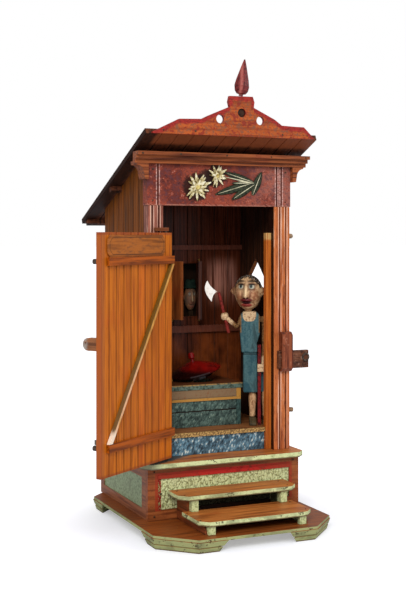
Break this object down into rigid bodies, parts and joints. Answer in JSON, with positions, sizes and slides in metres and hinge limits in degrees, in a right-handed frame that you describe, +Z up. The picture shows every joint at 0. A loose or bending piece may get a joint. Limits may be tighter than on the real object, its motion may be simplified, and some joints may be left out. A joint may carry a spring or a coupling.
{
  "type": "wooden automaton",
  "caption": "Carved wooden privy house on a stepped base; opening the door raises the seat lid and the head at the window and swings the figure's axe.",
  "frame": {"origin": "middle of the overall box in plan, at the level the feet stand on, door open as in the picture", "axes": "+Z up, -Y towards the viewer at the doorway, +X to that viewer's right"},
  "size_m": [0.3146, 0.3124, 0.5584],
  "materials": {
    "orange_wood": "varnished orange-brown board, dark in the grooves",
    "dark_wood": "dark brown varnished board",
    "maroon_paint": "maroon paint, crackled and worn",
    "red_paint": "red paint, glossy",
    "pale_green_paint": "pale yellow-green paint, worn at the edges",
    "blue_stone_paint": "rough blue-green stone texture paint",
    "cream_paint": "cream flowers and dark green leaves",
    "tunic_paint": "grey-blue tunic with brown sleeves",
    "trouser_paint": "grey-blue trousers over pale stockings",
    "face_paint": "painted carved face, glossy",
    "shoe_paint": "dark shoe paint",
    "pale_wood": "bare pale wood",
    "steel": "plain steel, a little rusty",
    "brass": "plain brass"
  },
  "bodies": {
    "house": {"back_cover": "orange_wood", "back_wall": "dark_wood", "base_front": "orange_wood", "base_plate": "orange_wood", "base_walls": "orange_wood", "bench_end": "blue_stone_paint", "bench_front": "blue_stone_paint", "bench_top": "blue_stone_paint", "bolt_keeper": "orange_wood", "cornice": "maroon_paint", "crest_board": "red_paint", "deck": "orange_wood", "figure_head": "face_paint", "figure_torso": "tunic_paint", "figure_trousers": "trouser_paint", "finial": "red_paint", "floor_riser": "blue_stone_paint", "front_panel": "pale_green_paint", "inner_floor": "orange_wood", "lid_hinge_block": "brass", "lintel": "maroon_paint", "post_left": "orange_wood", "post_right": "orange_wood", "roof": "dark_wood", "shaft_bracket": "orange_wood", "shoe_left": "shoe_paint", "shoe_right": "shoe_paint", "shutter_wire_left": "brass", "shutter_wire_right": "brass", "slide_cradle": "orange_wood", "sprig": "cream_paint", "step_lower": "orange_wood", "step_support_left": "pale_green_paint", "step_support_right": "pale_green_paint", "step_upper": "orange_wood", "wall_left": "orange_wood", "wall_right": "orange_wood"},
    "door": {"door_leaf": "orange_wood", "door_plate": "orange_wood", "door_batten_upper": "maroon_paint", "door_batten_lower": "maroon_paint", "door_brace": "pale_wood", "door_handle": "orange_wood", "strap_upper": "steel", "strap_lower": "steel", "door_shaft": "steel"},
    "bolt": {"slide_bolt": "orange_wood", "bolt_ring": "steel"},
    "seat_lid": {"lid": "red_paint"},
    "lifter": {"lid_lifter": "pale_wood"},
    "peeper": {"peeper_head": "face_paint", "peeper_board": "pale_wood"},
    "drive": {"drive_board": "pale_wood"},
    "lever": {"hand_lever": "red_paint"},
    "left_arm_body": {"left_arm": "tunic_paint"},
    "right_arm_body": {"right_arm": "tunic_paint", "axe_handle": "orange_wood", "axe_blade": "steel"},
    "left_shutter": {"shutter_left": "orange_wood"},
    "right_shutter": {"shutter_right": "orange_wood"}
  },
  "joints": [
    {"name": "door_swing", "type": "hinge", "parent": "house", "child": "door", "pos_m": [-0.03419, -0.04653, 0.2], "axis": [0, 0, 1], "range_deg": [0, 145]},
    {"name": "bolt_slide", "type": "slide", "parent": "house", "child": "bolt", "axis": [-1, 0, 0], "range_m": [0, 0.0131]},
    {"name": "drive_slide", "type": "slide", "parent": "house", "child": "drive", "axis": [1, 0, 0], "range_m": [-0.00821, 0]},
    {"name": "lifter_slide", "type": "slide", "parent": "house", "child": "lifter", "axis": [0, 0, 1], "range_m": [-0.00821, 0]},
    {"name": "peeper_slide", "type": "slide", "parent": "house", "child": "peeper", "axis": [0, 0, 1], "range_m": [-0.01422, 0]},
    {"name": "lid_tilt", "type": "hinge", "parent": "house", "child": "seat_lid", "pos_m": [0.00501, 0.04127, 0.1668], "axis": [0, 1, 0], "range_deg": [0, 14]},
    {"name": "lever_rock", "type": "hinge", "parent": "house", "child": "lever", "pos_m": [0.10567, -0.01529, 0.1085], "axis": [0.4067, 0.9135, 0], "range_deg": [0, 8.24]},
    {"name": "left_arm_swing", "type": "hinge", "parent": "house", "child": "left_arm_body", "pos_m": [0.10653, -0.01239, 0.243], "axis": [0.4067, 0.9135, 0], "range_deg": [-10.36, 0]},
    {"name": "right_arm_swing", "type": "hinge", "parent": "house", "child": "right_arm_body", "pos_m": [0.08734, -0.00384, 0.243], "axis": [0.4067, 0.9135, 0], "range_deg": [0, 16.83]},
    {"name": "left_shutter_swing", "type": "hinge", "parent": "house", "child": "left_shutter", "pos_m": [0.02581, 0.07777, 0.278], "axis": [0, 0, 1], "range_deg": [0, 71]},
    {"name": "right_shutter_swing", "type": "hinge", "parent": "house", "child": "right_shutter", "pos_m": [0.06381, 0.07777, 0.278], "axis": [0, 0, 1], "range_deg": [-71, 0]}
  ],
  "couplings": [
    {"joint": "drive_slide", "follows": "door_swing", "m_per_rad": -0.0032409},
    {"joint": "lifter_slide", "follows": "door_swing", "m_per_rad": -0.0032409},
    {"joint": "peeper_slide", "follows": "door_swing", "m_per_rad": -0.0056135},
    {"joint": "lid_tilt", "follows": "door_swing", "ratio": 0.096552},
    {"joint": "lever_rock", "follows": "door_swing", "ratio": 0.056825},
    {"joint": "left_arm_swing", "follows": "door_swing", "ratio": -0.071437},
    {"joint": "right_arm_swing", "follows": "door_swing", "ratio": 0.11609}
  ]
}
